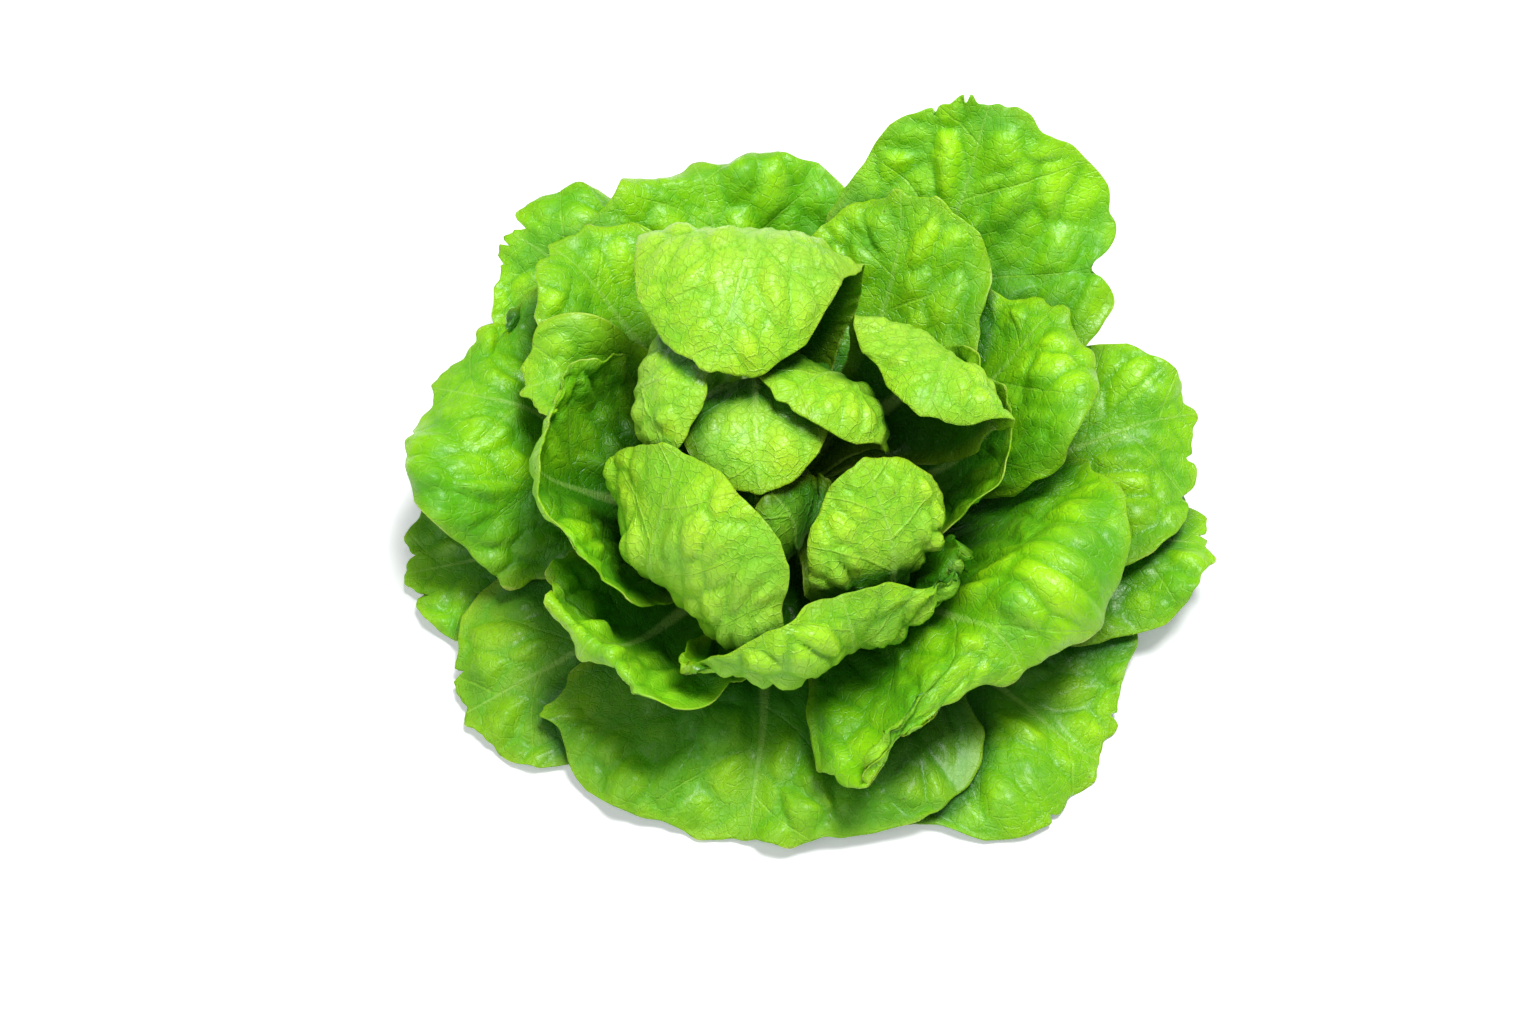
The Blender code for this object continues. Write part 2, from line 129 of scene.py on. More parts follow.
LEAVES = (
    Leaf("core_left_leaf", 200, ((18, 46, 14), (24, 60, 24), (22, 72, 26), (17, 77, 26)),
         (20, 20), (50, 55, 45), 0, 1),
    Leaf("core_right_leaf", -35, ((18, 46, -16), (26, 60, -26), (20, 73, -26), (11, 78, -25)),
         (22, 24), (50, 55, 45), 0, 1),
    Leaf("heart_middle_leaf", 95, ((18, 50, 2), (20, 70, 6), (8, 86, 9), (-14, 89, 11), (-31, 79, 11)),
         (27, 27), (45, 36, 20), 0, 1.5),
    Leaf("heart_upper_leaf", 50, ((22, 46, -2), (28, 68, -3), (18, 86, -3), (-5, 94, -2)),
         (34, 38), (45, 40, 28), 0, 1.5),
    Leaf("heart_left_leaf", 168, ((31, 44, 0), (46, 64, 1), (49, 83, 3), (40, 96, 6), (22, 99, 9)),
         (30, 42), (50, 44, 26), 16, 1.5),
    Leaf("heart_right_leaf", -52, ((34, 34, -4), (59, 47, -5), (63, 64, -3), (51, 81, 1), (32, 90, 5)),
         (32, 31), (50, 50, 38), 0, 1.5),
    Leaf("heart_front_leaf", -130, ((32, 30, 2), (60, 42, 4), (67, 60, 0), (56, 82, -6), (37, 95, -11)),
         (48, 60), (45, 46, 34), -18, 1.5),
    Leaf("collar_leaf", 55, ((32, 38, -10), (48, 62, -24), (48, 86, -34), (34, 97, -39), (16, 92, -42)),
         (40, 36), (45, 40, 28), 0, 2.5),
    Leaf("hood_leaf", 80,
         ((28, 36, 2), (54, 62, 8), (63, 90, 14), (49, 109, 18), (16, 106, 21), (-3, 93, 24)),
         (35, 43), (45, 38, 22), 0, 2),
    Leaf("cup_right_leaf", 4, ((34, 28, 0), (54, 42, 0), (66, 60, 0), (71, 76, 0)),
         (36, 40), (50, 45, 35), 0, 2.5),
    Leaf("cup_left_leaf", 182, ((38, 24, 0), (64, 42, 6), (77, 62, 10), (80, 72, 11), (76, 79, 11)),
         (50, 52), (50, 50, 45), 0, 3),
    Leaf("cup_front_leaf", -72, ((36, 22, 0), (63, 33, 0), (77, 48, 0), (73, 64, 0), (60, 72, 0)),
         (60, 66), (50, 54, 50), 8, 2.5),
    Leaf("tip_left_leaf", 160, ((38, 24, -4), (64, 46, -4), (78, 64, 0), (92, 62, 10)),
         (23, 24), (40, 25, 15), 0, 2),
    Leaf("back_right_inner_leaf", 66, ((30, 26, -4), (62, 44, -6), (86, 60, -4), (104, 72, 2)),
         (38, 36), (40, 25, 10), 0, 5),
    Leaf("back_left_inner_leaf", 132, ((41, 22, 0), (75, 44, 2), (98, 62, 5), (112, 64, 8)),
         (32, 34), (40, 25, 10), 0, 4.5),
    Leaf("front_left_cup_leaf", -133, ((44, 18, 2), (74, 30, 3), (88, 46, 4), (94, 53, 2), (97, 47, 2)),
         (40, 40), (40, 25, 10), 0, 3),
    Leaf("right_upper_leaf", 25, ((50, 28, 0), (72, 52, 0), (92, 68, 4), (107, 68, 8)),
         (46, 34), (30, -16, -26), 0, 5),
    Leaf("right_lower_leaf", -46, ((48, 23, 0), (75, 41, 2), (92, 53, 3), (103, 49, 3), (110, 41, 2)),
         (70, 76), (30, -8, -14), 12, 3.5),
    Leaf("left_leaf", 164, ((38, 18, -2), (78, 34, -2), (110, 48, 2), (127, 42, 0)),
         (50, 60), (30, 5, -10), -8, 7.5),
    Leaf("back_right_leaf", 56, ((43, 18, 0), (84, 40, 0), (118, 65, 4), (143, 88, 10)),
         (62, 42), (30, 14, 8), 12, 4.5),
    Leaf("right_leaf", 12, ((52, 16, -4), (96, 27, -4), (126, 36, -2), (147, 34, 0)),
         (48, 38), (30, 8, -5), 8, 5),
    Leaf("back_leaf", 103, ((46, 14, 2), (85, 30, 2), (108, 48, 2), (118, 54, 3), (126, 49, 4)),
         (56, 60), (30, 15, 5), 0, 4.5),
    Leaf("back_left_leaf", 136, ((50, 14, -4), (95, 29, -6), (124, 42, -5), (140, 43, -2)),
         (42, 34), (30, 8, 0), 0, 5),
    Leaf("front_leaf", -96, ((52, 12, -1), (85, 13, 1), (105, 9, 0), (121, 3.5, 0)),
         (75, 75), (15, -5, -4), 0, 2),
    Leaf("right_low_leaf", -8, ((61, 12, 2), (103, 17, 4), (130, 18, 6), (147, 15, 8)),
         (42, 48), (20, 2, -6), 8, 5),
    Leaf("front_left_leaf", 217, ((40, 10, 1), (82, 12, 0), (112, 8, -4), (131, 4, -8)),
         (42, 38), (15, -2, -4), 0, 2),
    Leaf("front_right_leaf", -38, ((60, 9, -4), (104, 10, -5), (128, 7, -6), (140, 3.5, -4)),
         (62, 54), (15, 0, -4), 0, 2),
    Leaf("left_low_leaf", 188, ((36, 8, 0), (78, 12, 0), (114, 11, 0), (134, 7, 0)),
         (40, 38), (15, -2, -5), 0, 2),
)
# How many of them make up the heart, and how many stand round it.
HEART_COUNT = 9
MIDDLE_COUNT = 7

# Close settling: the same, on a finer grid, once the coarse one is at rest.
CLOSE_ROWS = 32
CLOSE_COLUMNS = 29
CLOSE_ROUNDS = 8

# The fine leaf: its grid, its margin's thickness and how far it keeps from its neighbours, in millimetres.
FINE_STEP = 1.25
FINE_EDGE = 0.45
EDGE_TAPER = 6
CLEARANCE = 0.55
FARTHEST = 9.0
LEAST_ROOM = 0.02

# Its veins: the midrib thins towards the tip, and side veins lean outwards from it, less so further up.
RIB_HALF = 4.5
RIB_LEAST = 0.8
RIB_TAPER = 1.3
RIB_RISE = 1.6
VEIN_RISE = 0.5
VEIN_HALF = 0.9
VEIN_WANDER = 3.0
VEIN_LEAN = 1.25
LEAN_LOST = 0.55
VEIN_BEND = 0.0028
VEIN_STAGGER = 0.45

# Its blisters: domes between the veins, with smaller ones on them, none at the foot and lower ones at the
# margin. Billows lift the whole blade, and a frill lifts its margin.
SMALL_SHARE = 0.45
SMALL_DOME = 0.12
DOME_POWER = 1.9
LOWEST_DOME = 0.3
CELL_JITTER = 0.4
FOOT_END = 0.08
FOOT_FADE = 0.25
DOME_MARGIN = 14
BILLOW = 0.42
BILLOW_START = 0.4
FRILL_WIDTH = 16
FRILL_WAVES = (6.3, 3.9)
FINER_FRILL = 0.6

# Its margin's outline: lobes of three sizes, by how many would go round the leaf.
PULL_POWER = 5
PULL_START = 0.3
LOBES = (13.0, 23.0, 47.0)
LOBE_DEPTHS = (0.022, 0.009, 0.004)

# What the finish reads alike on a leaf's two sides.
SHARED_FIELDS = ("across", "climb", "share", "phase", "wall", "edge", "apart", "puff")

# How open to the sky a leaf is, which sets the shade painted where it sees little: rays cast from each point
# of the close grid, but not along its surface.
SKY_RAYS = 20
SKY_START = 0.6
SKY_REACH = 60.0
SKY_GRAZING = 0.05
SKY_LEAST = 0.3

# How single leaves differ from the rest. cell and puff: the size and the height of their blisters, as
# shares. ripple: the same for the margin's frill and lobes. tone: how yellow, -1, or how dark, 1, the leaf
# is. bulge: whether its blisters stand out on its inner side, 1, or its outer side, -1.
Look = namedtuple("Look", "cell puff ripple tone bulge")
LOOKS = {
    "plain": Look(1, 1, 1, 0, 1),
    "heart_middle_leaf": Look(1.3, 0.7, 0.35, -0.15, -1),
    "heart_upper_leaf": Look(1, 1.1, 0.4, 0, -1),
    "collar_leaf": Look(1.1, 1, 0.45, -0.15, -1),
    "hood_leaf": Look(1.1, 0.95, 0.5, -0.15, -1),
    "heart_left_leaf": Look(1.1, 1, 0.4, -0.1, -1),
    "heart_front_leaf": Look(1.1, 1.2, 0.4, 0, -1),
    "heart_right_leaf": Look(0.9, 1.6, 0.4, 0, -1),
    "core_left_leaf": Look(1, 0.6, 0.5, -0.1, -1),
    "core_right_leaf": Look(1, 0.6, 0.5, -0.1, -1),
    "cup_front_leaf": Look(1, 1.2, 0.7, -0.1, -1),
    "front_left_cup_leaf": Look(1, 1, 1, -0.25, 1),
    "tip_left_leaf": Look(0.9, 0.8, 1, -0.35, 1),
    "left_low_leaf": Look(1, 1.2, 1, 0.2, 1),
    "front_left_leaf": Look(1, 1.3, 1, 0.55, 1),
    "front_leaf": Look(1.05, 1.3, 1, 0.4, 1),
    "front_right_leaf": Look(1.1, 1, 1, 0.2, 1),
    "left_leaf": Look(0.95, 1.4, 1.3, 0.1, 1),
    "back_leaf": Look(1.1, 1, 1, 0.1, 1),
    "back_right_leaf": Look(1.1, 1.3, 1, 0.15, 1),
}

# The stem's fine form: its cut edge is rounded, and scars of trimmed leaves wind round it.
STEM_ROWS = 60
STEM_FINE_SIDES = 96
STEM_SCAR = 0.06
SCARS_AROUND = 3
SCAR_TWIST = 60
CUT_ROUNDING = 0.08
CUT_EDGE = 0.03

# Colours, in linear light, and how far the leaves of each layer deepen between light and deep green.
VEIN_PALE = (0.44, 0.8, 0.06, 1)
RIB_CREAM = (0.5, 0.78, 0.18, 1)
MARGIN_YELLOW = (0.42, 0.62, 0.01, 1)
MARGIN_PALE = (0.6, 0.8, 0.14, 1)
SPECK_BROWN = (0.12, 0.06, 0.02, 1)
OLIVE = (0.13, 0.28, 0.002, 1)
# Painted shade: a dark green laid over the leaves towards their feet, down in the head, and where they see
# little sky.
PAINTED_SHADE_GREEN = (0.02, 0.16, 0.001, 1)
DEEPENING = {"heart": (0.4, 0.66, 0.4), "middle": (0.26, 0.5, 0.3), "wrapper": (0.26, 0.5, 0.3)}
STEM_SIDES = (0.52, 0.6, 0.28, 1), (0.7, 0.72, 0.46, 1)
STEM_CUT = (0.66, 0.6, 0.4, 1), (0.3, 0.17, 0.07, 1)

# Finishes: what is the same all over each of them.
LEAF_BODY = {
    "Specular IOR Level": 0.38, "Coat Weight": 0.1, "Coat Roughness": 0.18, "Subsurface Weight": 0.3,
    "Subsurface Radius": (0.6, 1.0, 0.15), "Subsurface Scale": 0.003,
}
LEAF_TISSUE = {"Patch Size": 30.0, "Speck Amount": 0.5}
STEM_BODY = {"Subsurface Weight": 0.15, "Subsurface Scale": 0.002}
TABLE_BODY = {
    "Base Color": (0.93, 0.93, 0.93, 1), "Roughness": 0.8, "Specular IOR Level": 0.1,
    "Emission Color": (0.92, 0.97, 1, 1), "Emission Strength": 0.28,
}

# The photograph's view, in metres and degrees, its table and its lamps, each a name, a place, a size and a
# share of the light.
VIEW_TARGET = (-0.0055, -0.0142, 0.04)
VIEW_DISTANCE = 1.0
VIEW_ELEVATION = 60
LENS_MM = 70
SENSOR_MM = 36
FLOOR_HALF = 3.0
LAMPS = (("overhead", (0.45, 0.4, 2.45), 0.8, 1.0), ("fill", (-0.9, -1.0, 1.7), 1.6, 0.2))
SURROUND = 0.12

# Tears in the margin, and a wide one that rounds a corner: where round it, in degrees from the tip to the
# left, how deep, as a share of the blade, and how wide, in radians.
TEARS = {
    "cup_front_leaf": ((62, 0.26, 0.5),),
    "back_right_leaf": ((-58, 0.13, 0.05), (-48, 0.06, 0.03), (14, 0.06, 0.02), (30, 0.04, 0.015)),
    "right_leaf": ((-38, 0.08, 0.03), (-22, 0.05, 0.02)),
    "right_low_leaf": ((24, 0.07, 0.025), (5, 0.05, 0.02)),
    "front_right_leaf": ((22, 0.07, 0.022), (-30, 0.05, 0.02)),
    "back_left_leaf": ((-6, 0.08, 0.03), (8, 0.06, 0.02), (20, 0.05, 0.02)),
    "front_left_leaf": ((-24, 0.09, 0.028),),
    "left_low_leaf": ((18, 0.06, 0.02), (-12, 0.04, 0.02)),
    "left_leaf": ((-30, 0.05, 0.03), (25, 0.05, 0.03)),
}


def spline(knots, values, x):
    """A smooth curve through values at knots, read at x."""
    knots, values = np.asarray(knots, float), np.asarray(values, float)
    slopes = np.gradient(values, knots, axis=0)
    i = np.clip(np.searchsorted(knots, x, side="right") - 1, 0, len(knots) - 2)
    width = knots[i + 1] - knots[i]
    u = (x - knots[i]) / width
    if values.ndim > 1:
        u, width = u[..., None], width[..., None]
    start, end = values[i], values[i + 1]
    bend_in, bend_out = slopes[i] * width, slopes[i + 1] * width
    u2, u3 = u * u, u * u * u
    leaving = (2 * u3 - 3 * u2 + 1) * start + (u3 - 2 * u2 + u) * bend_in
    arriving = (3 * u2 - 2 * u3) * end + (u3 - u2) * bend_out
    return leaving + arriving


def ease(x):
    """0 below 0, 1 above 1, and smooth between."""
    x = np.clip(x, 0, 1)
    return x * x * (3 - 2 * x)


def unit(vectors):
    """Vectors brought to a length of one."""
    return vectors / np.maximum(np.linalg.norm(vectors, axis=-1, keepdims=True), 1e-9)


def stem_radius(height):
    """The stem's radius at a height."""
    share = [z for _, z in STEM_PROFILE]
    return STEM_RADIUS * np.interp(height / STEM_HEIGHT, share, [r for r, _ in STEM_PROFILE])


def root_height(order):
    """Where leaf number order, counted from the innermost, grows from the stem."""
    return HIGHEST_ROOT + (LOWEST_ROOT - HIGHEST_ROOT) * order / (len(LEAVES) - 1)


def rib_line(leaf, order, share):
    """The rib at shares of its length: points, directions across the blade and off its face, and length."""
    heading = math.radians(leaf.heading)
    out = np.array((math.cos(heading), math.sin(heading), 0))
    side = np.array((-math.sin(heading), math.cos(heading), 0))
    up = np.array((0, 0, 1.0))
    height = root_height(order)
    root = stem_radius(height) + ROOT_CLEARANCE + ROOT_THICKNESS / 2
    marks = np.array(((root, height, 0),) + leaf.rib, float)
    marks = marks[:, :1] * out + marks[:, 1:2] * up + marks[:, 2:3] * side
    lengths = np.concatenate(([0], np.cumsum(np.linalg.norm(np.diff(marks, axis=0), axis=1))))
    knots = lengths / lengths[-1]
    step = 1e-3
    here = spline(knots, marks, np.clip(share, 0, 1))
    ahead = spline(knots, marks, np.clip(share + step, 0, 1))
    behind = spline(knots, marks, np.clip(share - step, 0, 1))
    along = unit(ahead - behind)
    across = unit(side - along * (along @ side)[..., None])
    face = np.cross(along, across)
    tilt = np.radians(leaf.roll) * ease(share / ROLL_ALONG)[..., None]
    return (
        here,
        across * np.cos(tilt) + face * np.sin(tilt),
        face * np.cos(tilt) - across * np.sin(tilt),
        lengths[-1],
    )


def cross_section(leaf, share, q, half):
    """Where the blade's cross-section passes q half-widths from the rib: across, above it, and its slope."""
    cup = np.radians(spline((0, 0.5, 1), leaf.cup, share))
    marks = [np.abs(q) * (k + 0.5) / ARC_STEPS for k in range(ARC_STEPS)]
    across = q * half * sum(np.cos(cup * at) for at in marks) / ARC_STEPS
    above = np.abs(q) * half * sum(np.sin(cup * at) for at in marks) / ARC_STEPS
    return across, above, cup * q


def share_and_width(leaf, t, s):
    """Of a point of the blade: its share of the rib's length, half the blade's width there, and q."""
    share = t - TOP_PULL * t * t * s * s
    half = np.where(s < 0, leaf.half[0], leaf.half[1])
    neck = NECK_HALF / half
    width = neck + (1 - neck) * spline(*zip(*OUTLINE), t)
    return share, half, s * width


def blade(leaf, order, t, s):
    """The leaf's middle surface. t runs from root, 0, to top, 1, and s from right margin, -1, to left, 1."""
    draws = np.random.default_rng(order + 11).uniform(0, 2 * math.pi, 4)
    share, half, q = share_and_width(leaf, t, s)
    here, sideways, face, length = rib_line(leaf, order, share)
    across, above, slope = cross_section(leaf, share, q, half)
    normal = face * np.cos(slope)[..., None] - sideways * np.sin(slope)[..., None]
    around = np.arctan2(q * half, (share - WAVE_ORIGIN) * length)
    margin = (np.abs(s) ** MARGIN_POWER + t**MARGIN_POWER) ** (1 / MARGIN_POWER)
    margin = np.clip(margin, 0, 1) ** 2 * ease(t / RUFFLE_START)
    ruffle = np.sin(RUFFLES[0] * around + draws[0])
    ruffle += FINER_RUFFLE * np.sin(RUFFLES[1] * around + draws[1])
    swell = np.sin(SWELL_ACROSS * q + draws[2]) * np.sin(SWELL_ALONG * share + draws[3])
    swell *= ease(t / SWELL_START)
    lift = leaf.wave * (RUFFLE_HEIGHT * margin * ruffle + SWELL_HEIGHT * swell)
    return here + sideways * across[..., None] + face * above[..., None] + normal * lift[..., None]


def blade_grid(rows, columns):
    """t and s at the points of an even grid."""
    return np.meshgrid(np.linspace(0, 1, rows), np.linspace(-1, 1, columns), indexing="ij")


def grid_quads(rows, columns):
    """The faces of a grid of points, facing the leaf's inner side."""
    corner = (np.arange(rows - 1)[:, None] * columns + np.arange(columns - 1)).ravel()
    return np.stack((corner, corner + columns, corner + columns + 1, corner + 1), axis=1)


def grid_triangles(rows, columns):
    """The same faces as triangles."""
    quads = grid_quads(rows, columns)
    return np.concatenate((quads[:, [0, 1, 2]], quads[:, [0, 2, 3]]))


def blur(grid):
    """Each point's mean with its neighbours in the grid, itself counted twice each way."""
    for axis in (0, 1):
        ahead = np.concatenate((grid.take(range(1, grid.shape[axis]), axis), grid.take([-1], axis)), axis)
        behind = np.concatenate((grid.take([0], axis), grid.take(range(grid.shape[axis] - 1), axis)), axis)
        grid = (ahead + 2 * grid + behind) / 4
    return grid


def grid_normals(grid):
    """Unit normals of a grid of points, towards the leaf's inner side."""
    return unit(np.cross(np.gradient(grid, axis=0), np.gradient(grid, axis=1)))


def box_of(grid):
    """The lowest and highest corner of a grid of points."""
    points = grid.reshape(-1, 3)
    return points.min(axis=0), points.max(axis=0)


def push_clear(mine, my_normals, other_tree, other_box, is_outer):
    """How far each point of one leaf has to move to lie on its own side of another leaf."""
    push = np.zeros_like(mine)
    low, high = other_box
    close = np.all((mine > low - SETTLE_DEPTH) & (mine < high + SETTLE_DEPTH), axis=-1)
    wanted = 1 if is_outer else -1
    for i in zip(*np.nonzero(close)):
        found, face_normal, _, distance = other_tree.find_nearest(mine[i], SETTLE_DEPTH)
        if found is None or distance == 0:
            continue
        away = mine[i] - np.array(found)
        outward = -np.array(face_normal)
        height = away @ outward
        nested = outward @ my_normals[i] < 0
        over_the_blade = abs(height) > FACING * distance
        if nested and over_the_blade:
            push[i] = outward * wanted * max(0, LEAF_GAP - wanted * height)
        elif distance < LEAF_GAP:
            push[i] = away / distance * (LEAF_GAP - distance)
    return push


def largest_push(j, grids, normals, trees, boxes):
    """The largest push on each point of leaf j from any other leaf near it."""
    total = np.zeros_like(grids[j])
    for i in range(len(grids)):
        if i == j:
            continue
        push = push_clear(grids[j], normals[j], trees[i], boxes[i], j > i)
        larger = np.linalg.norm(push, axis=-1) > np.linalg.norm(total, axis=-1)
        total[larger] = push[larger]
    return total


def surface_trees(grids):
    """A search tree over each leaf's surface."""
    triangles = grid_triangles(*grids[0].shape[:2]).tolist()
    return [BVHTree.FromPolygons(grid.reshape(-1, 3).tolist(), triangles) for grid in grids]


def settle(drawn, rounds):
    """Bends the leaves apart until each lies clear of its neighbours, the stem and the table."""
    grids = drawn
    for _ in range(rounds):
        normals = [grid_normals(grid) for grid in grids]
        trees = surface_trees(grids)
        boxes = [box_of(grid) for grid in grids]
        moved = []
        for j, grid in enumerate(grids):
            push = largest_push(j, grids, normals, trees, boxes)
            bend = grid + PUSH_SHARE * push + PUSH_SPREAD * blur(push) - drawn[j]
            new = drawn[j] + (1 - BEND_SPREAD) * bend + BEND_SPREAD * blur(bend)
            from_axis = np.linalg.norm(new[..., :2], axis=-1)
            least = stem_radius(new[..., 2]) + ROOT_CLEARANCE + ROOT_THICKNESS / 2
            new[..., :2] *= np.maximum(1, least / from_axis)[..., None]
            new[..., 2] = np.maximum(new[..., 2], TABLE_GAP + BLADE_THICKNESS / 2)
            moved.append(new)
        grids = moved
    return grids


def read_grid(grid, t, s):
    """A grid of values over the whole blade, read smoothly at t and s."""
    rows, columns = grid.shape[:2]
    x, y = t * (rows - 1), (s + 1) / 2 * (columns - 1)
    i = np.clip(np.floor(x).astype(int), 0, rows - 2)
    j = np.clip(np.floor(y).astype(int), 0, columns - 2)
    total = 0
    for a, down in enumerate(reading_weights(x - i)):
        for b, over in enumerate(reading_weights(y - j)):
            row = np.clip(i + a - 1, 0, rows - 1)
            column = np.clip(j + b - 1, 0, columns - 1)
            total = total + (down * over)[..., None] * grid[row, column]
    return total


def reading_weights(u):
    """Weights of four neighbours, for a smooth curve through them read at u between the middle two."""
    return (
        (-u + 2 * u**2 - u**3) / 2,
        (2 - 5 * u**2 + 3 * u**3) / 2,
        (u + 4 * u**2 - 3 * u**3) / 2,
        (u**3 - u**2) / 2,
    )


def room_around(j, grids, normals, trees, boxes):
    """How far each point of leaf j is from the nearest other leaf, on its inner and on its outer side."""
    inner = np.full(grids[j].shape[:2], FARTHEST)
    outer = np.full(grids[j].shape[:2], FARTHEST)
    for i, (low, high) in enumerate(boxes):
        close = np.all((grids[j] > low - FARTHEST) & (grids[j] < high + FARTHEST), axis=-1)
        if i == j or not close.any():
            continue
        for k in zip(*np.nonzero(close)):
            found, _, _, distance = trees[i].find_nearest(grids[j][k], FARTHEST)
            if found is None:
                continue
            is_inner = (np.array(found) - grids[j][k]) @ normals[j][k] > 0
            room = inner if is_inner else outer
            room[k] = min(room[k], distance)
    return np.stack((inner, outer), axis=-1)


def sky_directions():
    """Even directions over the upper half of the sky, more of them near its top."""
    turns = np.arange(SKY_RAYS) * math.pi * (3 - math.sqrt(5))
    height = np.sqrt((np.arange(SKY_RAYS) + 0.5) / SKY_RAYS)
    flat = np.sqrt(1 - height**2)
    return np.stack((flat * np.cos(turns), flat * np.sin(turns), height), axis=-1)


def sky_over(grid, normal, tree):
    """The share of the sky that each point of a leaf sees, on its inner and on its outer side."""
    sides = []
    for facing in (normal, -normal):
        seen = np.zeros(grid.shape[:2])
        faced = np.zeros(grid.shape[:2])
        for direction in sky_directions():
            towards = facing @ direction
            start = grid + SKY_START * facing
            for k in zip(*np.nonzero(towards > SKY_GRAZING)):
                faced[k] += 1
                seen[k] += tree.ray_cast(start[k], direction, SKY_REACH)[0] is None
        sides.append((seen + SKY_LEAST) / (faced + 1))
    return np.stack(sides, axis=-1)


@cache
def settled_leaves():
    """For each leaf, as grids: its bend from its drawn form, the room on its sides and the sky they see."""
    t, s = blade_grid(ROWS, COLUMNS)
    drawn = [blade(leaf, order, t, s) for order, leaf in enumerate(LEAVES)]
    bends = [grid - start for grid, start in zip(settle(drawn, SETTLE_ROUNDS), drawn)]
    t, s = blade_grid(CLOSE_ROWS, CLOSE_COLUMNS)
    straight = [blade(leaf, order, t, s) for order, leaf in enumerate(LEAVES)]
    grids = settle([start + read_grid(bend, t, s) for start, bend in zip(straight, bends)], CLOSE_ROUNDS)
    normals = [grid_normals(grid) for grid in grids]
    trees = surface_trees(grids)
    boxes = [box_of(grid) for grid in grids]
    rooms = [blur(room_around(j, grids, normals, trees, boxes)) for j in range(len(grids))]
    triangles = grid_triangles(CLOSE_ROWS, CLOSE_COLUMNS)
    count = CLOSE_ROWS * CLOSE_COLUMNS
    whole = BVHTree.FromPolygons(
        np.concatenate([grid.reshape(-1, 3) for grid in grids]).tolist(),
        np.concatenate([triangles + j * count for j in range(len(grids))]).tolist(),
    )
    skies = [blur(sky_over(grid, normal, whole)) for grid, normal in zip(grids, normals)]
    return [(grid - start, room, sky) for grid, start, room, sky in zip(grids, straight, rooms, skies)]


def pull_margin(leaf, order, t, s, lobing):
    """t and s with the margin drawn in, for its lobes, its small teeth and its tears."""
    draws = np.random.default_rng(order + 300).uniform(0, 2 * math.pi, len(LOBES))
    height = 2 * t - 1
    around = np.arctan2(s, height)
    depth = sum(LOBE_DEPTHS)
    for turns, size, draw in zip(LOBES, LOBE_DEPTHS, draws):
        depth = depth + lobing * size * np.sin(turns * around + draw)
    for angle, size, width in TEARS.get(leaf.name, ()):
        depth = depth + size * np.exp(-(((around - math.radians(angle)) / width) ** 2))
    margin = np.maximum(np.abs(s), np.abs(height)) ** PULL_POWER
    pull = 1 - depth * margin * ease(t / PULL_START)
    above = ease(height / 0.4)
    return (1 + height * (1 + above * (pull - 1))) / 2, s * pull


def nearest_walls(x, y, cell, rng):
    """Rounded cells over a strip of leaf: each point's distance from its cell's wall, and a draw per cell."""
    columns = np.arange(np.floor(x.min() / cell) - 1, np.ceil(x.max() / cell) + 2)
    rows = np.arange(-1, np.ceil(y.max() / cell) + 2)
    seeds = np.stack(np.meshgrid(columns, rows, indexing="ij"), axis=-1)
    seeds[..., 1] += 0.5 * (columns % 2)[:, None]
    seeds = seeds.reshape(-1, 2)
    seeds = seeds + rng.uniform(-CELL_JITTER, CELL_JITTER, seeds.shape)
    draws = rng.uniform(0, 1, len(seeds))
    distance = np.hypot(x[:, None] / cell - seeds[:, 0] - 0.5, y[:, None] / cell - seeds[:, 1])
    nearest = np.argpartition(distance, 1, axis=1)[:, :2]
    two = np.take_along_axis(distance, nearest, axis=1)
    first = np.where(two[:, 0] < two[:, 1], nearest[:, 0], nearest[:, 1])
    return np.abs(two[:, 0] - two[:, 1]) / 2 * cell, draws[first]


def dome(wall, reach):
    """The height of a blister at a distance from its wall."""
    return 1 - (1 - np.clip(wall / reach, 0, 1)) ** DOME_POWER


def past_foot(t):
    """0 at the leaf's foot, which is smooth, and 1 beyond it."""
    return ease((t - FOOT_END) / FOOT_FADE)


